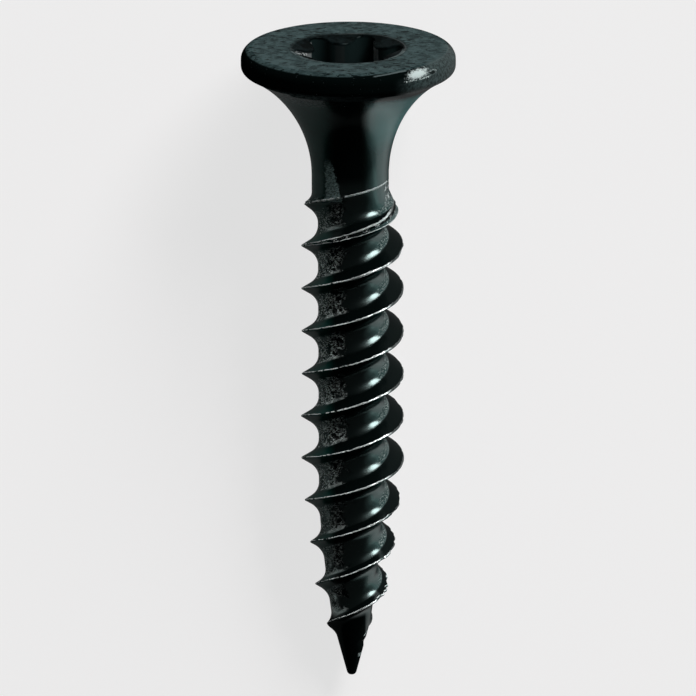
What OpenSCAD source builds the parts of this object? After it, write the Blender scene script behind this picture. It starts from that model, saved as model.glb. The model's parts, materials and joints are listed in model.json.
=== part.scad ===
// Coarse-thread drywall screw: bugle head with a six-lobe recess, twin-start rolled thread, sharp point.
// It lies on its side as it comes to rest, on the rim of the head and on the crests near the point.

/* [Head] */
// Diameter over the rim of the head
head_d = 8.15; // [7.8:0.05:9]
// Radius that rounds the rim into the flat top
rim_top_r = 0.44; // [0.3:0.02:0.5]
// Radius that rounds the rim into the underside
rim_under_r = 0.3; // [0.2:0.02:0.4]
// Radius of the hollow sweep from the neck out to the rim
bugle_r = 4.6; // [4.4:0.05:4.8]
// Depth under the flat top at which the sweep meets the straight neck
bugle_depth = 5; // [4.9:0.05:5.2]

/* [Neck] */
// Diameter of the plain neck
neck_d = 2.94; // [2.8:0.02:3.2]
// Depth under the flat top at which the plain neck ends
neck_depth = 5.45; // [5.35:0.05:5.8]

/* [Thread] */
// Diameter over the thread's crests
thread_d = 3.84; // [3.7:0.02:4.2]
// Diameter of the core between the crests
core_d = 2.48; // [2.4:0.02:2.7]
// Advance of one turn, which holds the crests of both starts
lead = 3.38; // [3:0.02:3.8]
// Angle between the two flanks of a crest
flank_angle = 60; // [50:1:66]
// Width of the flat left on a crest
crest_flat = 0.05; // [0.02:0.01:0.08]
// Fillet from the core into the flank on the head's side
head_fillet_r = 0.35; // [0.2:0.05:0.5]
// Fillet from the core into the flank on the point's side
point_fillet_r = 0.65; // [0.4:0.05:0.8]
// Length over which the crests rise out of the neck
run_in = 1.2; // [1:0.1:1.8]
// Turn of the thread about the screw's own axis, in degrees
thread_turn = 69.7; // [0:0.1:90]

/* [Point] */
// Length of the screw from the flat top to the point
length = 25; // [22:0.5:35]
// Length at the point's end over which the core tapers
taper_len = 7.2; // [6:0.1:8]
// Length at the point's end over which the crests draw in
crest_taper_len = 8.2; // [7.2:0.1:9]
// Distance from the point at which the crests start to run out
run_out_start = 3.8; // [3.4:0.1:4.2]
// Distance from the point at which the first start's crest has run out
run_out_end = 2; // [1.7:0.1:2.3]
// Distance from the point at which the second start's crest has run out
late_run_out_end = 1.4; // [1.1:0.1:1.7]
// Diameter over the crests where they start to run out
run_out_d = 2.8; // [2.6:0.02:3]
// Length of the cone at the very point
cone_len = 2.2; // [1.8:0.1:2.6]
// Diameter of the core where that cone starts
cone_d = 1.46; // [1.2:0.02:1.6]
// Diameter of the blunted end
point_d = 0.3; // [0.2:0.02:0.4]

/* [Recess] */
// Diameter of the recess over its six lobes
lobe_d = 4.2; // [4:0.05:4.3]
// Radius of the round end of a lobe
lobe_r = 0.4; // [0.34:0.02:0.44]
// Diameter between the tips of the webs that part the lobes
web_d = 2.85; // [2.7:0.05:3]
// Diameter of the sloping mouth at the flat top
mouth_d = 4.5; // [4.35:0.05:4.7]
// Depth of the mouth's slope at the tips of the webs
mouth_depth = 0.24; // [0.1:0.02:0.3]
// Depth of the lobes' straight walls
recess_depth = 2; // [1.6:0.05:2.2]
// Depth of the cone under those walls
recess_tip = 0.6; // [0.4:0.05:0.7]
// Turn of a lobe about the screw's own axis, in degrees
recess_turn = 9; // [0:1:59]

/* [Hidden] */
$fn = 96;
head_r = head_d / 2;
neck_r = neck_d / 2;
crest_r = thread_d / 2;
core_r = core_d / 2;
starts = 2;
crest_gap = lead / starts;
half_flank = flank_angle / 2;
sides = 28;
ring_step = lead / sides;
side_angle = 360 / sides;
ring_count = round((length - neck_depth) / ring_step);
lap = 0.03;
core_blend = 0.7;
taper_power = 1.4;
web_bite = 0.02;
over = 1;

// Middles of a lobe's circle and of a web's circle, which touches the lobes on both sides of it
// and is then made larger by the bite, so that the circles cross
lobes = 6;
lobe_x = lobe_d / 2 - lobe_r;
lobe_reach = lobe_x * cos(180 / lobes);
web_r = web_bite
    + (pow(lobe_x, 2) + pow(web_d / 2, 2) - lobe_reach * web_d - pow(lobe_r, 2))
    / (2 * lobe_r + 2 * lobe_reach - web_d);
web_x = web_d / 2 + web_r;
web_side = [web_x * cos(180 / lobes) - lobe_x, web_x * sin(180 / lobes)];
joint_r = norm([lobe_x, 0] + web_side * lobe_r / norm(web_side));

// Middle of the sweep's circle, and of the circle that rounds the rim into it
sweep_x = neck_r + bugle_r;
under_x = head_r - rim_under_r;
under_depth = bugle_depth
    - sqrt(pow(bugle_r + rim_under_r, 2) - pow(sweep_x - under_x, 2));
// Depth and radius at which that rounding runs into the sweep
touch = rim_under_r / (bugle_r + rim_under_r);
touch_r = under_x + touch * (sweep_x - under_x);
touch_depth = under_depth + touch * (bugle_depth - under_depth);

function mix(a, b, t) = a + (b - a) * t;
function clamp01(t) = max(0, min(1, t));
function smooth(t) = let(c = clamp01(t)) c * c * (3 - 2 * c);

// Radius of the core at a depth under the flat top, in the groove under a crest whose own
// depth is given: a groove starts at the neck's end and deepens as the crest above it forms
function core_at(s, above) =
    let(
        cone_s = length - cone_len,
        taper_s = length - taper_len,
        taper = pow(clamp01((s - taper_s) / (cone_s - taper_s)), taper_power),
        formed = smooth((above - neck_depth + crest_gap / 2) / run_in),
        cut = smooth((s - neck_depth) / core_blend)
    )
    s > cone_s ? mix(cone_d / 2, point_d / 2, (s - cone_s) / cone_len)
    : s > taper_s ? mix(core_r, cone_d / 2, taper)
    : mix(neck_r, core_r, formed * cut);

// Radius over the crest of one of the starts at a depth under the flat top
function crest_at(s, start) =
    let(
        draw_s = length - crest_taper_len,
        out_s = length - run_out_start,
        end_s = length - (start == 0 ? run_out_end : late_run_out_end),
        out = (s - out_s) / (end_s - out_s)
    )
    s > end_s ? core_at(s, s)
    : s > out_s ? mix(run_out_d / 2, core_at(end_s, end_s), out * out)
    : s > draw_s ? mix(crest_r, run_out_d / 2, (s - draw_s) / (out_s - draw_s))
    : mix(neck_r, crest_r, smooth((s - neck_depth) / run_in));

// Height of a flank above the core, at a distance along the axis from its crest
function flank(a, h, fillet_r) =
    let(
        foot = crest_flat / 2 + h * tan(half_flank),
        tangent = fillet_r * tan((90 - half_flank) / 2),
        end = foot + tangent,
        start = foot - tangent * sin(half_flank)
    )
    min(h,
        a <= crest_flat / 2 ? h
        : a < start ? h - (a - crest_flat / 2) / tan(half_flank)
        : a < end ? fillet_r - sqrt(pow(fillet_r, 2) - pow(end - a, 2))
        : 0);

// Radius of the threaded shank at a depth, at a distance past the crest of one of the starts
function shank_at(s, a, start) =
    let(
        core = core_at(s, s - a),
        above = max(0, crest_at(s, start) - core),
        below = max(0, crest_at(s, (start + 1) % starts) - core)
    )
    core + max(flank(a, above, point_fillet_r), flank(crest_gap - a, below, head_fillet_r));

// Rings of points down the shank, the first one inside the neck; side and ring together
// keep each crest on one helix
function ring_depth(j) =
    j == 0 ? neck_depth - lap
    : j == ring_count ? length
    : neck_depth + (j - 0.5) * ring_step;
function shank_point(i, j) =
    let(
        s = ring_depth(j),
        past = (i + j) % sides,
        start = floor(past * starts / sides),
        a = past * ring_step - start * crest_gap,
        r = j == 0 ? neck_r - lap : j == ring_count ? point_d / 2 : shank_at(s, a, start),
        angle = thread_turn + (i + 0.5) * side_angle
    )
    [r * cos(angle), r * sin(angle), -s];
shank_points = [for (j = [0:ring_count]) for (i = [0:sides - 1]) shank_point(i, j)];

// Tilt at which the thread touches the floor that the rounded rim stands on
tilt = min([
    for (p = shank_points)
        let(a = under_x - p[1], b = -p[2] - under_depth)
        if (b > crest_gap) atan2(a, b) + asin(rim_under_r / norm([a, b]))
]);
rest_height = under_x * cos(tilt) + under_depth * sin(tilt) + rim_under_r;
reach_head = (head_r - rim_top_r) * sin(tilt) - rim_top_r * cos(tilt) + rim_top_r;
reach_point = length * cos(tilt) + point_d / 2 * sin(tilt);

// Half outline of the head and neck, turned about the axis
module head_outline() {
    difference() {
        translate([0, -neck_depth]) square([touch_r, neck_depth - touch_depth]);
        translate([sweep_x, -bugle_depth]) circle(bugle_r);
        translate([neck_r, -neck_depth]) square([touch_r, neck_depth - bugle_depth]);
    }
    translate([0, -touch_depth]) square([touch_r, touch_depth - under_depth]);
    translate([0, -under_depth]) square([head_r, under_depth - rim_top_r]);
    translate([0, -rim_top_r]) square([head_r - rim_top_r, rim_top_r]);
    translate([under_x, -under_depth]) circle(rim_under_r);
    translate([head_r - rim_top_r, -rim_top_r]) circle(rim_top_r);
}

module recess_profile() {
    for (k = [0:lobes - 1])
        rotate(k * 360 / lobes) translate([lobe_x, 0]) circle(lobe_r);
    difference() {
        circle(joint_r);
        for (k = [0:lobes - 1])
            rotate((k + 0.5) * 360 / lobes) translate([web_x, 0]) circle(web_r);
    }
}

// Punch that forms the recess: six straight lobes with a conical end, and the sloping mouth
module recess_punch() {
    intersection() {
        translate([0, 0, -recess_depth - recess_tip])
            linear_extrude(recess_depth + recess_tip + over) recess_profile();
        union() {
            translate([0, 0, -recess_depth]) cylinder(h = recess_depth + over, d = mouth_d);
            translate([0, 0, -recess_depth - recess_tip])
                cylinder(h = recess_tip, d1 = 0, d2 = mouth_d);
        }
    }
    translate([0, 0, -mouth_depth]) cylinder(h = mouth_depth, d1 = web_d, d2 = mouth_d);
}

module threaded_shank() {
    last = ring_count * sides;
    walls = [
        for (j = [0:ring_count - 1])
            for (i = [0:sides - 1])
                let(
                    k = (i + 1) % sides,
                    a = j * sides + i,
                    b = j * sides + k,
                    c = a + sides,
                    d = b + sides
                )
                each [[a, b, c], [b, d, c]]
    ];
    top = [[for (i = [sides - 1:-1:0]) i]];
    end = [[for (i = [0:sides - 1]) last + i]];
    polyhedron(shank_points, concat(top, walls, end));
}

module drywall_screw() {
    color("#24282a")
        translate([0, (reach_point - reach_head) / 2, rest_height])
            rotate([tilt - 90, 0, 0]) {
                difference() {
                    rotate_extrude() head_outline();
                    rotate(recess_turn) recess_punch();
                }
                threaded_shank();
            }
}

drywall_screw();
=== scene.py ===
# A black drywall screw lying on a pale floor as it comes to rest, seen from above its head's side.
import json
import math

import bpy
import numpy as np
from mathutils import Matrix, Vector, noise


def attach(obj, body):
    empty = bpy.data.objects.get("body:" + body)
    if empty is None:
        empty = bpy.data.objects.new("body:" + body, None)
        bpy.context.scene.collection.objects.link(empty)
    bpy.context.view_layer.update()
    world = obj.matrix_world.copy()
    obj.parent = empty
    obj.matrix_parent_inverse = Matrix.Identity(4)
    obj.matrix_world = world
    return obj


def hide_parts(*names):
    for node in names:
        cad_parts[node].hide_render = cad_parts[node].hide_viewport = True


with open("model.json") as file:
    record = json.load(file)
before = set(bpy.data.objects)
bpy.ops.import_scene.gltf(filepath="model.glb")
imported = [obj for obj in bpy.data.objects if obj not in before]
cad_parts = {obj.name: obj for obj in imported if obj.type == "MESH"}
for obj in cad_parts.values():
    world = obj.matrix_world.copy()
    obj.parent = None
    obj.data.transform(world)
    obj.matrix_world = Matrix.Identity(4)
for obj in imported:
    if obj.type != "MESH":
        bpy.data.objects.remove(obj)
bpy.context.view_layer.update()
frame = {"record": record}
bpy.ops.object.select_all(action="DESELECT")

# How the screw lies
# It rests on the edge of its head and on the crests near its point. The driver's recess gives the
# middle of the flat top and the axis. Upright, +Z is towards the head and -Y is the side that the
# camera sees, which faces up when the screw lies.
MM = 0.001
recess_mount = next(m for m in frame["record"]["mounts"] if m["name"] == "drive_recess")
head_middle = Vector(recess_mount["pos_m"])
headward = Vector(recess_mount["axis"]).normalized()
rightward = Vector((1, 0, 0))
upside = rightward.cross(headward)
lying = Matrix((rightward, -upside, headward)).transposed().to_4x4()
lying.translation = head_middle

# Camera
# A long lens looks down on the middle of the screw, from 16 degrees above square to its axis on
# the head's side. Its focal length is in pixels of the photo, which is square.
PHOTO_SIDE = 696
FOCAL_PIXELS = 7839
VIEW_RISE = math.radians(15.8)
VIEW_ROLL = math.radians(-0.18)
VIEW_DISTANCE = 300 * MM
VIEW_X = -0.105 * MM
VIEW_DEPTH = 11.865 * MM
view_middle = lying @ Vector((VIEW_X, 0, -VIEW_DEPTH))
back = math.cos(VIEW_RISE) * upside + math.sin(VIEW_RISE) * headward
picture_up = math.cos(VIEW_RISE) * headward - math.sin(VIEW_RISE) * upside
camera = bpy.data.objects.new("camera", bpy.data.cameras.new("camera"))
bpy.context.collection.objects.link(camera)
turn = Matrix((rightward, picture_up, back)).transposed() @ Matrix.Rotation(VIEW_ROLL, 3, "Z")
camera.matrix_world = Matrix.Translation(view_middle + VIEW_DISTANCE * back) @ turn.to_4x4()
camera.data.lens = FOCAL_PIXELS / PHOTO_SIDE * camera.data.sensor_width
camera.data.clip_start = 10 * MM
camera.data.clip_end = 20
bpy.context.scene.camera = camera

# The screw's blank and thread
# One length of steel wire, cold-headed to a flat bugle head, then rolled between dies to a
# twin-start thread and a pinched point. Its skin is a grid rolled into a tube, whose columns
# follow the crests. Sizes are in millimetres, and depths are from the flat top.
HEAD_R = 4.075
RIM_TOP_R = 0.44
RIM_UNDER_R = 0.3
BUGLE_R = 4.6
BUGLE_DEPTH = 5
NECK_R = 1.47
NECK_DEPTH = 5.45
CREST_R = 1.92
CORE_R = 1.24
CORE_BLEND = 0.5
LEAD = 3.38
CREST_GAP = LEAD / 2
HALF_FLANK = math.radians(30)
CREST_FLAT = 0.05
HEAD_FILLET_R = 0.6
POINT_FILLET_R = 0.65
RUN_IN = 1.2
THREAD_TURN = 69.7
LENGTH = 25
TAPER_START = LENGTH - 7.2
TAPER_POWER = 1.4
DRAW_START = LENGTH - 8.2
RUN_OUT_START = LENGTH - 3.8
RUN_OUT_ENDS = (LENGTH - 2, LENGTH - 1.4)
RUN_OUT_R = 1.4
CONE_START = LENGTH - 2.2
CONE_R = 0.73
POINT_R = 0.15
TIP_R = 0.2


def mix(a, b, t):
    return a + (b - a) * t


def smooth(t):
    t = min(1, max(0, t))
    return t * t * (3 - 2 * t)


# Turn about the axis at which the first start's crest stands at a depth, in degrees
def crest_turn(s):
    return THREAD_TURN - (s - NECK_DEPTH) / LEAD * 360


# Radius of the core at a depth, in the groove under a crest whose own depth is given
def core_at(s, above):
    if s > CONE_START:
        cone = mix(CONE_R, POINT_R, (s - CONE_START) / (LENGTH - CONE_START))
        past_round = s - LENGTH + TIP_R
        return min(cone, math.sqrt(max(0, TIP_R**2 - past_round**2))) if past_round > 0 else cone
    if s > TAPER_START:
        t = (s - TAPER_START) / (CONE_START - TAPER_START)
        return mix(CORE_R, CONE_R, t**TAPER_POWER)
    formed = smooth((above - NECK_DEPTH + CREST_GAP / 2) / RUN_IN)
    return mix(NECK_R, CORE_R, formed * smooth((s - NECK_DEPTH) / CORE_BLEND))


def crest_at(s, start):
    end = RUN_OUT_ENDS[start]
    if s > end:
        return core_at(s, s)
    if s > RUN_OUT_START:
        out = (s - RUN_OUT_START) / (end - RUN_OUT_START)
        return mix(RUN_OUT_R, core_at(end, end), out * out)
    if s > DRAW_START:
        return mix(CREST_R, RUN_OUT_R, (s - DRAW_START) / (RUN_OUT_START - DRAW_START))
    return mix(NECK_R, CREST_R, smooth((s - NECK_DEPTH) / RUN_IN))


# Height of a flank above the core, at a distance along the axis from its crest
def flank(a, height, fillet, flat):
    foot = flat / 2 + height * math.tan(HALF_FLANK)
    tangent = fillet * math.tan((math.pi / 2 - HALF_FLANK) / 2)
    end = foot + tangent
    start = foot - tangent * math.sin(HALF_FLANK)
    if a <= flat / 2:
        rise = height
    elif a < start:
        rise = height - (a - flat / 2) / math.tan(HALF_FLANK)
    elif a < end:
        rise = fillet - math.sqrt(fillet**2 - (end - a) ** 2)
    else:
        rise = 0
    return min(height, rise)


# Width of a crest's flat: the dies don't fill the first turn, which leaves it a flat ribbon
RIBBON_WIDTHS = (0.3, 0.05)
RIBBON_WHOLE = 0.5
RIBBON_FADE = 1.9
RIBBON_HOLLOW = 0.03


def flat_at(s, start):
    filled = smooth((s - NECK_DEPTH - RIBBON_WHOLE) / RIBBON_FADE)
    return CREST_FLAT + RIBBON_WIDTHS[start] * (1 - filled)


# The neck drops into the first groove over a sharp shoulder, which slopes across the front
SHOULDER_DROP = 0.055


def shoulder_at(turn_degrees):
    past = turn_degrees - 180
    return 6.13 - 0.0092 * past + 0.0000205 * past**2


# Drift of the crests along the axis, and the dents in them: the wire is never quite even
DRIFT = 0.022
RIPPLE = 0.012
DENT = 0.16
TORN = 0.08
TORN_NEAR_POINT = 0.16


def drift_at(turn_degrees, s):
    t = math.radians(turn_degrees)
    return DRIFT * noise.noise(Vector((2 * math.cos(t), 2 * math.sin(t), s)) * 0.9)


def dent_at(turn_degrees, s):
    t = math.radians(turn_degrees)
    place = Vector((2 * math.cos(t), 2 * math.sin(t), s))
    deep = max(0, noise.noise(place * 1.7 + Vector((7, 3, 1))) - 0.28)
    near_point = smooth((s - 17.5) / 1.5)
    torn = smooth((math.cos(t) - 0.55) / 0.3) * (TORN + TORN_NEAR_POINT * near_point)
    ragged = torn * max(0, noise.noise(place * 4.2 + Vector((2, 9, 4))) + 0.05)
    return RIPPLE * (noise.noise(place * 3.1) + 0.4) + DENT * deep + ragged


# The dies stood unevenly: the crests are fuller on the right and lower on the left
FULLER = 0.115
LOWER = 0.04


def swing_at(turn_degrees, s):
    rightness = math.cos(math.radians(turn_degrees))
    fuller = FULLER * smooth((rightness - 0.45) / 0.45) * (1 - smooth((s - 20) / 2.5))
    lower = LOWER * smooth((-rightness - 0.45) / 0.45) * (1 - smooth((s - 13) / 2))
    return (fuller - lower) * smooth((s - 6.2) / 1.2)


# Radius of the threaded shank at a depth, at a distance past the first start's crest. The dies
# pinched off the wire just above the point.
PINCH = 0.045
PINCH_DEPTH = 23.62
PINCH_HALF_LENGTH = 0.22


def shank_at(s, past):
    turn_degrees = (crest_turn(s) + past / LEAD * 360) % 360
    past = (past + drift_at(turn_degrees, s)) % LEAD
    start = int(past // CREST_GAP) % 2
    a = past % CREST_GAP
    other = 1 - start
    upper_flat = flat_at(s, start)
    lower_flat = flat_at(s, other)
    core = core_at(s, s - a)
    swing = swing_at(turn_degrees, s)
    above = max(0, crest_at(s, start) + swing - core)
    below = max(0, crest_at(s, other) + swing - core)
    radius = core + max(
        flank(a, above, POINT_FILLET_R, upper_flat),
        flank(CREST_GAP - a, below, HEAD_FILLET_R, lower_flat),
    )
    near = min(a / upper_flat, (CREST_GAP - a) / lower_flat)
    hollow = RIBBON_HOLLOW * max(0, 1 - (2 * near) ** 2) * smooth((7.6 - s) / 1.2)
    hollow *= smooth((s - NECK_DEPTH) / 0.4)
    if s < RUN_OUT_ENDS[1]:
        top = max(core + 0.02, core + max(above, below) - dent_at(turn_degrees, s))
        radius = min(radius - hollow, top)
    drop = s - shoulder_at(turn_degrees)
    if 0 < drop < 1 and 180 < turn_degrees < 360:
        across = smooth((turn_degrees - 184) / 25) * smooth((360 - turn_degrees) / 14)
        filled = smooth((drop - 0.1) / 0.8)
        radius -= SHOULDER_DROP * across * smooth(drop / 0.05) * (1 - filled)
    elif -0.9 < drop <= 0 and 196 < turn_degrees < 352:
        radius = max(radius, NECK_R)
    rightness = math.cos(math.radians(turn_degrees))
    pinched = smooth(1 - abs(s - PINCH_DEPTH) / PINCH_HALF_LENGTH)
    return radius - PINCH * (pinched * smooth((rightness - 0.3) / 0.5))


# Mouth of the recess: a slope that rounds into the flat top, with a shallow hollow behind it
MOUTH_R = 2.25
WEB_TIP_R = 1.425
MOUTH_DEPTH = 0.24
MOUTH_ROUND = 0.12
MOUTH_HOLLOW = 0.05
MOUTH_HOLLOW_TURN = 92


def mouth_at(radius, turn_degrees):
    x = (MOUTH_R - radius) / (MOUTH_R - WEB_TIP_R)
    if x < -MOUTH_ROUND:
        slope = 0
    elif x < MOUTH_ROUND:
        slope = (x + MOUTH_ROUND) ** 2 / (4 * MOUTH_ROUND)
    else:
        slope = x
    aside = (turn_degrees - MOUTH_HOLLOW_TURN + 180) % 360 - 180
    hollow = MOUTH_HOLLOW * (1 - smooth(abs(aside) / 38)) * smooth((2.8 - radius) / 0.45)
    return MOUTH_DEPTH * slope + hollow * smooth((radius - 1.3) / 0.5)


def arc(middle_r, middle_s, radius, first, last, count):
    for k in range(count + 1):
        t = math.radians(mix(first, last, k / count))
        yield middle_r + radius * math.cos(t), middle_s - radius * math.sin(t)


# Rings down the head: the mouth of the recess, the flat, the rim's two rounds, the sweep
FINE_FROM_R = 1.2
FINE_TO_R = 2.9
FINE_RINGS = 26
sweep_r = NECK_R + BUGLE_R
under_r = HEAD_R - RIM_UNDER_R
under_s = BUGLE_DEPTH - math.sqrt((BUGLE_R + RIM_UNDER_R) ** 2 - (sweep_r - under_r) ** 2)
sweep_turn = math.degrees(math.atan2(BUGLE_DEPTH - under_s, sweep_r - under_r))
head_rings = [(0, 0), (FINE_FROM_R / 2, 0)]
for t in range(FINE_RINGS + 1):
    head_rings.append((mix(FINE_FROM_R, FINE_TO_R, t / FINE_RINGS), 0))
head_rings += [(FINE_TO_R + 0.2 * t, 0) for t in range(1, 4)]
head_rings += arc(HEAD_R - RIM_TOP_R, RIM_TOP_R, RIM_TOP_R, 90, 0, 12)
head_rings += [(HEAD_R, mix(RIM_TOP_R, under_s, t / 4)) for t in range(1, 4)]
head_rings += arc(under_r, under_s, RIM_UNDER_R, 0, -sweep_turn, 10)
head_rings += list(arc(sweep_r, BUGLE_DEPTH, BUGLE_R, 180 - sweep_turn, 180, 30))[1:]

# Rings down the shank, and columns that crowd together at the crests
RING_STEP = 0.032
SHANK_TOP = BUGLE_DEPTH + RING_STEP
COLUMNS = 112
CROWDING = 0.75
shank_count = round((LENGTH - SHANK_TOP) / RING_STEP)
shank_rings = [mix(SHANK_TOP, LENGTH, k / shank_count) for k in range(shank_count + 1)]
even_past = [LEAD * k / COLUMNS for k in range(COLUMNS + 1)]
crowded_past = []
for k in range(COLUMNS + 1):
    u = 2 * k / COLUMNS
    crowded_past.append(CREST_GAP * (u - CROWDING * math.sin(2 * math.pi * u) / (2 * math.pi)))

# The head was struck a little off the neck's middle and out of square
HEAD_SHIFT = 0.06
HEAD_DROP = 0.036
HEAD_LEAN = 0.033


def skin_point(turn_degrees, radius, s):
    t = math.radians(turn_degrees)
    x = radius * math.cos(t)
    y = radius * math.sin(t)
    lean = (HEAD_DROP - HEAD_LEAN * y) * max(0, 1 - s / 3)
    return Vector((x - HEAD_SHIFT * smooth((4.8 - s) / 4), y, -s - lean)) * MM


def rolled_up(name, points, columns):
    bpy.ops.mesh.primitive_grid_add(
        x_subdivisions=columns, y_subdivisions=len(points) // (columns + 1) - 1, size=1
    )
    tube = bpy.context.object
    tube.name = name
    tube.data.vertices.foreach_set("co", np.array(points, np.float32).ravel())
    bpy.ops.object.mode_set(mode="EDIT")
    bpy.ops.mesh.select_all(action="SELECT")
    bpy.ops.mesh.remove_doubles(threshold=0.0005 * MM)
    bpy.ops.mesh.normals_make_consistent(inside=False)
    bpy.ops.object.mode_set(mode="OBJECT")
    return tube


points = []
for radius, s in head_rings:
    crowded = smooth((s - 2) / 3)
    for even, past in zip(even_past, crowded_past):
        turn_degrees = (crest_turn(SHANK_TOP) + mix(even, past, crowded) / LEAD * 360) % 360
        dip = mouth_at(radius, turn_degrees) if s == 0 else 0
        points.append(skin_point(turn_degrees, radius, s + dip))
for s in shank_rings:
    for past in crowded_past:
        turn_degrees = crest_turn(s) + past / LEAD * 360
        points.append(skin_point(turn_degrees, shank_at(s, past), s))
points += [skin_point(0, 0, LENGTH)] * (COLUMNS + 1)
screw = rolled_up("drywall_screw_steel", points, COLUMNS)

# The six-lobe recess
# It is punched into the cold head: six straight lobes with webs between them, a conical end, and
# a lip that is worn round. Its cutter is a tube whose rings run down the lip, wall and cone.
LOBE_R = 0.4
LOBE_OUT = 1.7
WEB_R = 0.651
WEB_OUT = 2.076
RECESS_DEPTH = 2
RECESS_TIP = 0.6
RECESS_TURN = 9
LIP_R = 0.07
LOBE_STEPS = 16
WEB_STEPS = 14
web_x = WEB_OUT * math.cos(math.pi / 6)
web_y = WEB_OUT * math.sin(math.pi / 6)
joint = math.degrees(math.atan2(web_y, web_x - LOBE_OUT))


# Points round the six lobes and webs, grown outwards by a width
def recess_outline(grown):
    outline = []
    for lobe in range(6):
        turned = Matrix.Rotation(math.radians(RECESS_TURN + 60 * lobe), 2)
        for k in range(LOBE_STEPS):
            t = math.radians(mix(-joint, joint, k / LOBE_STEPS))
            reach = LOBE_R + grown
            outline.append(turned @ Vector((LOBE_OUT + reach * math.cos(t), reach * math.sin(t))))
        for k in range(WEB_STEPS):
            t = math.radians(mix(joint + 180, 240 - joint, k / WEB_STEPS))
            reach = WEB_R - grown
            across = web_x + reach * math.cos(t)
            outline.append(turned @ Vector((across, web_y + reach * math.sin(t))))
    return outline + outline[:1]


punch_points = [skin_point(0, 0, -0.5) for place in recess_outline(0)]
lip = [(LIP_R * 3, -LIP_R * 1.3)]
for t in (60, 45, 30, 15, 0):
    turn = math.radians(t)
    lip.append((LIP_R * (1 - math.cos(turn)), LIP_R * (1 - math.sin(turn))))
for grown, lip_depth in lip:
    for place in recess_outline(grown):
        turn_degrees = math.degrees(math.atan2(place.y, place.x)) % 360
        dip = mouth_at(place.length, turn_degrees)
        punch_points.append(skin_point(turn_degrees, place.length, dip + lip_depth))
for reach in (1, 0.7, 0.35, 0):
    for place in recess_outline(0):
        turn_degrees = math.degrees(math.atan2(place.y, place.x)) % 360
        radius = place.length * reach
        s = RECESS_DEPTH + RECESS_TIP * (1 - radius / MOUTH_R)
        punch_points.append(skin_point(turn_degrees, radius, s))
punch = rolled_up("recess_punch", punch_points, 6 * (LOBE_STEPS + WEB_STEPS))
bpy.context.view_layer.objects.active = screw
cut = screw.modifiers.new("recess", "BOOLEAN")
cut.operation = "DIFFERENCE"
cut.solver = "EXACT"
cut.object = punch
bpy.ops.object.modifier_apply(modifier="recess")
bpy.data.objects.remove(punch)
bpy.ops.object.select_all(action="DESELECT")
screw.select_set(True)

screw.matrix_world = lying
bpy.ops.object.transform_apply()
bpy.ops.object.shade_smooth_by_angle(angle=math.radians(40))

# How far each point lies along the axis below the flat of the crest above it, above the flat of
# the crest below it, and above the foot of that crest's flank, for the finish. The shoulder under
# the neck counts as a crest.
FAR = 1
upright = lying.inverted()
widths_by_name = {"below_crest": [], "above_crest": [], "past_foot": []}
for vertex in screw.data.vertices:
    place = upright @ vertex.co / MM
    s = -place.z
    under_upper = over_lower = over_foot = FAR
    turn_degrees = math.degrees(math.atan2(place.y, place.x)) % 360
    if s > NECK_DEPTH:
        past = s - NECK_DEPTH + (turn_degrees - THREAD_TURN) / 360 * LEAD
        past = (past + drift_at(turn_degrees, s)) % LEAD
        start = int(past // CREST_GAP) % 2
        a = past % CREST_GAP
        lost = max(smooth((5.9 - s) / 0.3), smooth((s - RUN_OUT_ENDS[start] + 0.3) / 0.3))
        under_upper = mix(a - flat_at(s, start) / 2, FAR, lost)
        over_lower = mix(CREST_GAP - a - flat_at(s, 1 - start) / 2, FAR, lost)
        crest = crest_at(s, 1 - start) + swing_at(turn_degrees, s)
        height = max(0, crest - core_at(s, s - a))
        over_foot = over_lower - height * math.tan(HALF_FLANK)
    if s > BUGLE_DEPTH and 184 < turn_degrees < 346:
        over_lower = min(over_lower, abs(s - shoulder_at(turn_degrees)) - CREST_FLAT / 2)
    widths_by_name["below_crest"].append(under_upper)
    widths_by_name["above_crest"].append(over_lower)
    widths_by_name["past_foot"].append(over_foot)
for name, widths in widths_by_name.items():
    attribute = screw.data.attributes.new(name, "FLOAT", "POINT")
    attribute.data.foreach_set("value", np.array(widths, np.float32))

# The finish
# Black phosphate under oil, which is glossy in the grooves and dry on the head and flanks, scuffed
# grey on the flat top, and worn to bare steel along the crests.
steel = bpy.data.materials.new("black_phosphate_steel")
steel.use_nodes = True


class Signal:
    """A socket of a finish, which sums and products can be written on."""

    tree = steel.node_tree

    def __init__(self, socket):
        self.socket = socket

    @classmethod
    def of(cls, kind, settings, inputs, output=0):
        node = cls.tree.nodes.new("ShaderNode" + kind)
        for name, value in settings.items():
            setattr(node, name, value)
        for key, value in inputs.items():
            if isinstance(value, cls):
                cls.tree.links.new(value.socket, node.inputs[key])
            else:
                node.inputs[key].default_value = value
        return cls(node.outputs[output])

    # Another output of the node that this socket is on
    def also(self, output):
        return Signal(self.socket.node.outputs[output])

    def maths(self, operation, *others):
        return Signal.of("Math", {"operation": operation}, dict(enumerate((self, *others))))

    def __add__(self, other):
        return self.maths("ADD", other)

    __radd__ = __add__

    def __mul__(self, other):
        return self.maths("MULTIPLY", other)

    __rmul__ = __mul__

    def __sub__(self, other):
        return self.maths("SUBTRACT", other)

    def __rsub__(self, other):
        return self * -1 + other

    def __abs__(self):
        return self.maths("ABSOLUTE")

    def least(self, other):
        return self.maths("MINIMUM", other)

    def most(self, other):
        return self.maths("MAXIMUM", other)

    # 0 at one value and 1 at another, with a soft change between them
    def between(self, low, high):
        return Signal.of(
            "MapRange",
            {"interpolation_type": "SMOOTHSTEP"},
            {"Value": self, "From Min": low, "From Max": high},
        )

    # Inside a band, with a soft border of the given width outside each end
    def within(self, low, high, border):
        return self.between(low - border, low) * self.between(high + border, high)


def blended(first, second, share):
    return Signal.of("Mix", {"data_type": "RGBA"}, {0: share, 6: first, 7: second}, 2)


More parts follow.
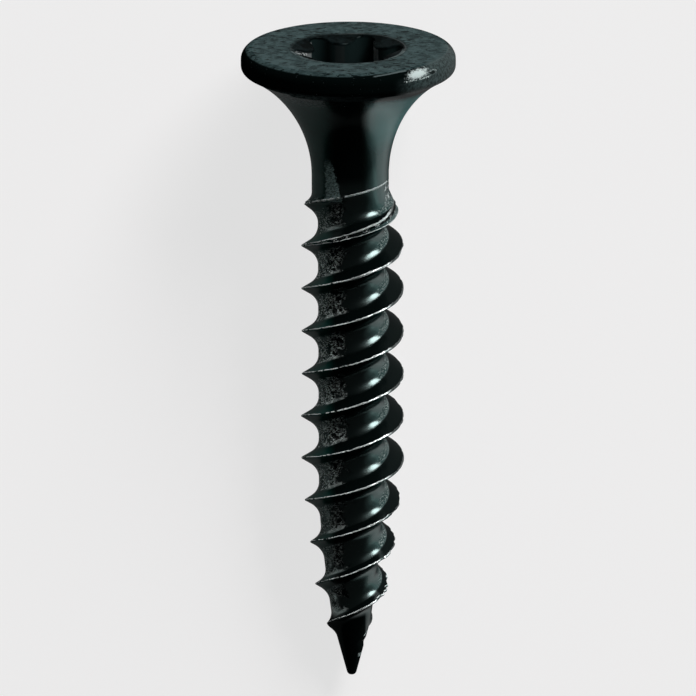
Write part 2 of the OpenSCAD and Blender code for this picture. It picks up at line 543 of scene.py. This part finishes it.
def shifted(place, by):
    return Signal.of("VectorMath", {"operation": "ADD"}, {0: place, 1: by})


def grain(place, scale, detail, roughness):
    return Signal.of(
        "TexNoise",
        {},
        {"Vector": place, "Scale": scale, "Detail": detail, "Roughness": roughness},
    )


# Length of an arrow across and down
def length_of(across, down):
    return (across * across + down * down).maths("SQRT")


def finish_with(material, shader):
    nodes = material.node_tree.nodes
    nodes.remove(nodes["Principled BSDF"])
    material.node_tree.links.new(shader.socket, nodes["Material Output"].inputs[0])


# Places on the screw stood upright, in millimetres: across, from back to front, and down. The
# head's own middle and top are where it was struck.
place = Signal.of(
    "Mapping",
    {},
    {
        "Vector": Signal.of("TexCoord", {}, {}, "Object"),
        "Location": upright.translation / MM,
        "Rotation": upright.to_euler(),
        "Scale": (1 / MM, 1 / MM, 1 / MM),
    },
)
place_x = Signal.of("SeparateXYZ", {}, {0: place})
place_y = place_x.also(1)
depth = place_x.also(2) * -1
head_x = place_x + HEAD_SHIFT
from_axis = length_of(head_x, place_y)
top_depth = depth + place_y * HEAD_LEAN - HEAD_DROP
front = place_y.between(-0.5, -1)
below_crest = Signal.of("Attribute", {"attribute_name": "below_crest"}, {}, "Fac")
above_crest = Signal.of("Attribute", {"attribute_name": "above_crest"}, {}, "Fac")
past_foot = Signal.of("Attribute", {"attribute_name": "past_foot"}, {}, "Fac")

# Grain of the phosphate and of the wear, from fine to coarse
speck = grain(place, 20, 2, 0.6)
fine = grain(place, 9, 4, 0.7)
tone = grain(place, 2.3, 4, 0.7)
cloud = grain(place, 1.6, 3, 0.5)
dashes = grain(shifted(place, (1, 7, 3)), 6, 2, 0.5)
clumps = grain(shifted(place, (4, 1, 8)), 4.2, 3, 0.6)
drawn = Signal.of("VectorMath", {"operation": "MULTIPLY"}, {0: place, 1: (0.55, 1.25, 1)})
pitting = grain(shifted(drawn, (5, 2, 1)), 5.2, 4, 0.65)
down_crest = (depth + place_x * 0.4) * 1.25
along_crest = Signal.of("CombineXYZ", {}, {0: place_x * 0.5, 1: place_y * 0.5, 2: down_crest})
scales = grain(along_crest, 23, 2, 0.65)
limb = Signal.of("LayerWeight", {}, {"Blend": 0.5}, 1)

# The flat top: scuffed grey, with dark pits and a few pale nicks
DARK_SCUFF = (0.018, 0.032, 0.033, 1)
PALE_SCUFF = (0.041, 0.069, 0.07, 1)
PIT_BLACK = (0.002, 0.004, 0.004, 1)
NICK_GREY = (0.1, 0.14, 0.14, 1)
flat_top = (top_depth + place_x.between(-0.5, 1.5) * 0.05).between(0.1, 0.06)
pit = pitting.between(0.44, 0.415)
nick = grain(drawn, 10, 4, 0.7).between(0.64, 0.7)
top_grey = blended(DARK_SCUFF, PALE_SCUFF, tone.between(0.38, 0.62))
top_grey = blended(top_grey, PIT_BLACK, pit * 0.95)
top_grey = blended(top_grey, NICK_GREY, nick)

# The recess: a darker slope, walls lightened with painted light, painted glints of pale steel in
# the left lobe and down the sides of two webs, and a painted highlight line on the front lip
SLOPE_BLACK = (0.0003, 0.001, 0.001, 1)
SLOPE_GREY = (0.004, 0.0075, 0.008, 1)
# The walls' grey is painted light: lighter than the black, for light that hardly reaches in
PAINTED_WALL_LIGHT = (0.007, 0.014, 0.014, 1)
WEB_GREY = (0.012, 0.017, 0.017, 1)
PAINTED_LINE_GREY = (0.08, 0.11, 0.11, 1)
GLINT_STEEL = (0.65, 0.72, 0.72, 1)
in_mouth = from_axis.between(2.34, 2.1) * depth.between(2.3, 2.2)
in_cone = from_axis.between(1.4, 1.3) * depth.between(3, 2.9)
in_recess = in_mouth.most(in_cone)
mouth_slope = (from_axis * -1 + MOUTH_R).most(0) * (MOUTH_DEPTH / (MOUTH_R - WEB_TIP_R))
recess_wall = (top_depth - mouth_slope).between(0.05, 0.14) * in_recess
mouth_grey = blended(SLOPE_BLACK, SLOPE_GREY, tone.between(0.38, 0.65))
left_lobe = place_x.within(-2.12, -1.66, 0.06) * place_y.between(-0.45, -0.3)
# Painted glints of pale steel: specks in the left lobe and lines down the sides of two webs
lobe_glints = left_lobe * depth.within(0.1, 0.36, 0.06) * speck.between(0.47, 0.54)
web_side = head_x.within(-1.58, -1.42, 0.05) * 0.2 + head_x.within(0.98, 1.12, 0.04) * 0.24
web_glints = web_side * depth.within(0.3, 0.9, 0.15) * place_y.between(-0.6, -0.3)
painted_glints = (lobe_glints + web_glints).least(1) * recess_wall
web_face = head_x.within(-0.45, -0.2, 0.12) * place_y.between(0.2, 0.8) * recess_wall
# Painted highlight along the front of the recess lip, in dashes
front_lip = from_axis.within(2.06, 2.2, 0.04) * place_y.between(0.1, -0.5)
front_lip = front_lip * dashes.between(0.4, 0.55) * depth.between(0.7, 0.5)

# The rim: dull black, with a painted highlight on its round at the right where it faces the key
# softbox, a painted greenish glow round it, a chip in the bright patch, and a painted highlight
# line along the top's front edge
# The pale steel is a painted highlight, also used for flecks, and the greenish grey a painted glow
RIM_HIGHLIGHT_AND_FLECK_STEEL = (0.5, 0.6, 0.59, 1)
CHIP_BLACK = (0.001, 0.003, 0.003, 1)
PAINTED_RIM_GLOW = (0.046, 0.068, 0.068, 1)
UNDER_RIM_GREY = (0.012, 0.018, 0.019, 1)
RIM_HIGHLIGHT_X = 2.54
RIM_HIGHLIGHT_DEPTH = 0.21
CHIP_X = 3.1
CHIP_DEPTH = 0.28
EDGE_LINE_DEPTH = 0.04
rim = from_axis.between(3.55, 3.66) * depth.between(1.3, 1.1)
# Painted highlight where the rim's round faces the key softbox, broken at its edges
from_rim_highlight = length_of((place_x - RIM_HIGHLIGHT_X) * 2.1, (top_depth - RIM_HIGHLIGHT_DEPTH) * 5.4)
painted_rim_highlight = (fine * 0.4 + speck * 0.2 - from_rim_highlight * 0.3 + 0.2).between(0.19, 0.38)
painted_rim_highlight = painted_rim_highlight * front * top_depth.between(0.01, 0.05)
flecks = top_depth.within(0.37, 0.41, 0.02) * place_x.within(2.1, 2.95, 0.1) * front
flecks = flecks * (speck * 0.5 + fine * 0.5).between(0.49, 0.54)
from_chip = length_of((place_x - CHIP_X) * 9, (top_depth - CHIP_DEPTH) * 14) + (fine - 0.5) * 1.2
chip = from_chip.between(1, 0.7) * front
chip_ring = from_chip.within(1, 1.25, 0.25) * front * speck.between(0.42, 0.58)
# Painted highlight line along the front edge of the flat top
below_edge_line = top_depth - EDGE_LINE_DEPTH - (place_x * -1 + 1.85).most(0) * 0.05
painted_edge_line = below_edge_line.within(-0.012, 0.012, 0.012) * place_x.within(0.95, 2.05, 0.12) * front
# Painted greenish glow on the right of the rim, round the highlight
rim_glow_reach = top_depth + place_x.between(2.5, 3) * 0.35
painted_rim_glow = rim * place_x.between(1.6, 2.6) * place_y.between(0.9, 0) * rim_glow_reach.between(0.2, 0.4)
lower_rim = depth.within(1, 1.28, 0.06) * from_axis.between(3.3, 3.5)
lower_rim = lower_rim * place_x.within(-2.2, 0.8, 0.4)

# The crests: bare steel shows in a thin broken line along each edge of a crest's flat, in clumps
# on the first turn's ribbon, and as a shining line on the right
BARE_STEEL = (0.88, 0.98, 0.97, 1)
FRAYED_STEEL = (0.6, 0.66, 0.66, 1)
thread = depth.between(NECK_DEPTH + 0.1, NECK_DEPTH + 0.5)
far_right = place_x.between(1.4, 1.62)
wavy = (dashes - 0.5) * 0.05 + (fine - 0.5) * 0.04
over_edge = above_crest + wavy
upper_line = over_edge.within(-0.012, 0.012, 0.01)
wide_line = over_edge.within(-0.022, 0.02, 0.01) * place_x.between(-0.1, 0.7)
upper_line = upper_line.most(wide_line) * (1 - far_right * 0.9)
lower_line = (below_crest + wavy).within(-0.018, 0.002, 0.008) * depth.between(9, 8)
lower_line = lower_line * (1 - far_right * 0.6)
worn = upper_line.most(lower_line) * depth.between(23.15, 23)
worn = worn * dashes.between(0.38, 0.44).most(place_x.between(-0.35, 0.2) * 0.8)
worn = worn * (speck.between(0.36, 0.5) * 0.5 + 0.5)
ribbon = below_crest.least(above_crest).between(-0.03, -0.05) * clumps.between(0.52, 0.57)
ribbon = ribbon * speck.between(0.54, 0.6) * (1 - far_right * 0.7)
bare = worn.most(ribbon * 0.8)
shine = over_edge.within(-0.008, 0.008, 0.01) * (speck * 0.5 + fine * 0.5).between(0.4, 0.5)
shine = shine * thread * place_x.between(-0.3, 0.4) * (1 - far_right)
strand = abs(abs(place_x - 1.4 + (fine - 0.5) * 0.25) - 0.045)
frayed = strand.between(0.02, 0.01) * depth.within(5.25, 5.95, 0.15) * dashes.between(0.42, 0.5)

# The flanks are dull. Pale specks lie in the grooves on the left, thinner near the head and the
# point, with a tongue of them at the foot of each flank: dust with a painted reflection of light
# from the left over it. A painted speckled edge of the glow round the highlight lies on the right
DUST_AND_REFLECTION = (0.85, 1, 0.97, 1)
GLOW_EDGE_GREY = (0.35, 0.43, 0.41, 1)
upper_flank = thread * below_crest.between(0.5, 0.3) * place_x.between(0.5, -0.1)
lower_flank = thread * past_foot.between(-0.09, -0.14)
groove = thread * past_foot.between(-0.12, -0.06) * below_crest.between(0.26, 0.36)
uneven_x = place_x + (clumps + cloud - 1) * 1.4 + (scales - 0.5) * 1.1
# Dust with a painted reflection of light from the left, in the grooves on the left
dust_and_reflection = groove * uneven_x.within(-1, -0.5, 0.3) * depth.between(22.4, 22) * place_y.between(0.3, 0)
dust_and_reflection_share = (scales * 0.75 + fine * 0.25).between(0.49, 0.56) * clumps.between(0.38, 0.52)
dust_and_reflection_share = dust_and_reflection_share * (depth.between(6.6, 8) * 0.65 + 0.35)
dust_and_reflection_share = dust_and_reflection_share * (below_crest.between(0.3, 0.8) * 0.5 + 0.5)
dust_and_reflection_share = dust_and_reflection_share * (1 - depth.between(16.5, 18) * 0.5)
tongue = past_foot.within(-0.09, -0.02, 0.03) * place_x.within(-0.98, -0.25, 0.15)
tongue = tongue * (pitting.between(0.4, 0.6) * 0.2 + 0.06 + depth.between(14, 18) * 0.06)
dust_and_reflection_share = dust_and_reflection_share.most(tongue)
root_end = thread * past_foot.within(-0.07, 0.08, 0.06) * place_x.within(1.1, 1.6, 0.1)
# Painted edge of the glow round the highlight, speckled, at the right end of each root
painted_glow_edge = root_end * scales.between(0.5, 0.62) * (fine.between(0.4, 0.6) * 0.7 + 0.3)

# The neck: a pale patch on the left that narrows upwards, dust with a painted reflection of light
# from the left over it
NECK_DUST_AND_REFLECTION = (0.25, 0.37, 0.36, 1)
neck_x = place_x + (clumps - 0.5) * 0.4 + (fine - 0.5) * 0.3
neck_right = neck_x - (depth - 5.25) * 0.27
neck_patch = depth.between(4, 4.5) * depth.between(5.85, 5.7) * neck_x.between(-0.99, -0.91)
neck_patch = neck_patch * neck_right.between(-0.4, -0.46) * place_y.between(0.3, 0)
# Dust with a painted reflection of light from the left
neck_dust_and_reflection = neck_patch * (scales.between(0.42, 0.58) * 0.7 + 0.3)

# The bugle, the point and the left side stay dull, with a mottled band and a few nicks. The left
# side has a greener black and the right a pale green sheen, both of them painted reflections
BLACK = (0.0012, 0.0028, 0.0027, 1)
# Painted reflections: the greener black on the left side, and the two sheens on the right
PAINTED_LEFT_GREEN = (0.003, 0.026, 0.021, 1)
PAINTED_GREEN_SHEEN = (0.02, 0.07, 0.069, 1)
PAINTED_PALE_SHEEN = (0.075, 0.24, 0.24, 1)
MOTTLED_GREY = (0.05, 0.07, 0.068, 1)
NICKED_STEEL = (0.25, 0.3, 0.3, 1)
bugle = depth.within(1.35, 4.7, 0.6) * place_x.between(0.95, 0.35) * place_y.between(-0.1, -0.6)
bugle_dryness = place_x.between(-1.6, -0.1) * 0.08 + 0.9
point = depth.between(CONE_START - 0.7, CONE_START - 0.3) * (1 - place_x.between(0.5, 0.6) * 0.5)
tip_nick = depth.within(24.06, 24.18, 0.04) * place_x.within(0.27, 0.4, 0.04)
tip_nick = tip_nick * place_y.between(-0.07, -0.13)
bugle_nick = speck.between(0.73, 0.76) * front
bugle_nick = bugle_nick * depth.between(1.9, 1.7) * place_x.between(1.4, 0.8)
left = place_x.between(-0.55, -1.05)
# Painted reflection: a greener black over the left side, from under the rim to the point
painted_left_green = left * depth.between(1.2, 1.7) * (1 - point)
mottled = depth.within(1.1, 1.6, 0.2) * place_x.between(-0.7, -1.1) * fine.between(0.4, 0.62)
mottled = mottled * front
# Painted reflection: a pale green sheen on the right of the bugle, neck and thread, strongest on
# the bugle
painted_sheen = place_x.between(0.5, 1.2) * depth.between(1.3, 1.7) * (1 - lower_flank)
painted_sheen = painted_sheen * (depth.between(4.6, 3) * 0.6 + 0.4)

# Colours, laid one over another
base = BLACK
for color, share in (
    (PAINTED_LEFT_GREEN, painted_left_green),
    (PAINTED_GREEN_SHEEN, painted_sheen),
    (PAINTED_PALE_SHEEN, painted_sheen * depth.between(4, 2.6)),
    (top_grey, flat_top),
    (mouth_grey, in_recess),
    (PAINTED_WALL_LIGHT, recess_wall),
    (WEB_GREY, web_face),
    (GLINT_STEEL, painted_glints),
    (PAINTED_LINE_GREY, front_lip.most(painted_edge_line) * 0.8),
    (PAINTED_RIM_GLOW, painted_rim_glow * (fine.between(0.3, 0.7) * 0.9 + 0.1)),
    (UNDER_RIM_GREY, lower_rim * tone.between(0.3, 0.6)),
    (MOTTLED_GREY, mottled),
    (RIM_HIGHLIGHT_AND_FLECK_STEEL, painted_rim_highlight.most(flecks).most(chip_ring * 0.4)),
    (CHIP_BLACK, chip),
    (NICKED_STEEL, bugle_nick.most(tip_nick)),
    (DUST_AND_REFLECTION, dust_and_reflection * dust_and_reflection_share),
    (NECK_DUST_AND_REFLECTION, neck_dust_and_reflection),
    (GLOW_EDGE_GREY, painted_glow_edge),
    (FRAYED_STEEL, frayed),
    (BARE_STEEL, bare.most(shine)),
):
    base = blended(base, color, share)

# Dryness: 0 is oiled and glossy, 1 is matte
dry = lower_rim.most(neck_dust_and_reflection).most(painted_glow_edge).most(frayed)
dry = dry.most(mottled).most(bugle_nick).most(tip_nick)
for part, dryness in (
    (flat_top, 0.93),
    (in_recess, 0.97),
    (rim, 1 - painted_rim_glow * 0.15),
    (lower_flank, 0.93),
    (upper_flank, 0.93),
    (dust_and_reflection, 0.95),
    (point, 0.985),
    (bugle, bugle_dryness),
    (left, 0.9),
    (limb.between(0.42, 0.82), 0.9),
    (bare, 0.85),
    (root_end, 0.6),
    (painted_sheen, 0.25),
):
    dry = dry.most(part * dryness)
dry = dry * (1 - shine)

bumps = (fine * 0.3 + speck * 0.15) * (flat_top * 0.8 + 0.2)
bumps = bumps + worn * 0.3 + painted_rim_highlight * 0.4 - pit * flat_top
bump = Signal.of("Bump", {}, {"Height": bumps, "Strength": 0.25, "Distance": 0.05 * MM})
oiled = Signal.of(
    "BsdfPrincipled",
    {},
    {
        "Base Color": base,
        "Metallic": shine,
        "Roughness": cloud.between(0.2, 0.8) * 0.05 + flat_top * 0.2 + 0.18,
        "IOR": 1.85,
        "Specular Tint": (0.73, 1, 0.97, 1),
        "Normal": bump,
    },
)
matte = Signal.of(
    "BsdfPrincipled",
    {},
    {"Base Color": base, "Roughness": 0.7, "Specular IOR Level": 0.0, "Normal": bump},
)
finish_with(steel, Signal.of("MixShader", {}, {0: dry, 1: oiled, 2: matte}))
screw.data.materials.append(steel)
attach(screw, "root")
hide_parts("drywall_screw")

# Floor
# A pale painted board that the screw lies on. It shows nearly white to the camera and in
# reflections, and still takes the screw's shadow.
FLOOR_SIDE = 6
FLOOR_PAINT = (0.85, 0.85, 0.85, 1)
WHITE_SHARE = 0.72
bpy.ops.mesh.primitive_plane_add(size=FLOOR_SIDE)
floor = bpy.context.object
floor.name = "floor"
paint = bpy.data.materials.new("pale_floor")
paint.use_nodes = True
Signal.tree = paint.node_tree
camera_ray = Signal.of("LightPath", {}, {}, "Is Camera Ray")
glossy_ray = camera_ray.also("Is Glossy Ray")
transmission_ray = camera_ray.also("Is Transmission Ray")
seen = camera_ray.most(glossy_ray).most(transmission_ray)
painted = Signal.of(
    "BsdfPrincipled",
    {},
    {"Base Color": FLOOR_PAINT, "Roughness": 0.9, "Specular IOR Level": 0.1},
)
white = Signal.of("Emission", {}, {"Strength": 1.0})
finish_with(paint, Signal.of("MixShader", {}, {0: seen * WHITE_SHARE, 1: painted, 2: white}))
floor.data.materials.append(paint)

# Light
# Softboxes round the screw, in a dim room. Each has its bearing from the head's direction, its
# rise above the floor and its roll in degrees, its distance, width and height in metres, its
# radiance, and its share of red.
ROOM_GREY = (0.03, 0.03, 0.03, 1)
SOFTBOXES = {
    "key": (28, 26, -46, 0.6, 0.5, 0.22, 14, 1.06),
    "overhead": (38, 50, 0, 0.7, 0.5, 0.25, 0.15, 0.85),
    "right_low": (72, 7, 0, 0.8, 1.5, 0.25, 0.45, 0.8),
    "right_middle": (78, 14, 0, 0.8, 1.3, 0.5, 0.18, 0.8),
    "right_high": (82, 22, 0, 0.8, 1.1, 0.85, 0.1, 0.8),
    "right_back": (130, 5, 0, 0.8, 1.1, 0.24, 0.25, 0.8),
}
for name, (bearing, rise, roll, distance, width, height, radiance, red) in SOFTBOXES.items():
    softbox = bpy.data.objects.new(name, bpy.data.lights.new(name, "AREA"))
    bpy.context.collection.objects.link(softbox)
    softbox.data.shape = "ELLIPSE"
    softbox.data.size = width
    softbox.data.size_y = height
    softbox.data.energy = radiance * math.pi * math.pi / 4 * width * height
    softbox.data.color = (red, 1, mix(1, red, 0.1))
    t = math.radians(bearing)
    up = math.radians(rise)
    direction = Vector((math.sin(t) * math.cos(up), math.cos(t) * math.cos(up), math.sin(up)))
    softbox.location = distance * direction
    facing = direction.to_track_quat("Z", "Y").to_matrix()
    softbox.rotation_euler = (facing @ Matrix.Rotation(math.radians(roll), 3, "Z")).to_euler()
world = bpy.data.worlds.new("world")
world.use_nodes = True
world.node_tree.nodes["Background"].inputs["Color"].default_value = ROOM_GREY
bpy.context.scene.world = world
bpy.context.scene.view_settings.view_transform = "Standard"
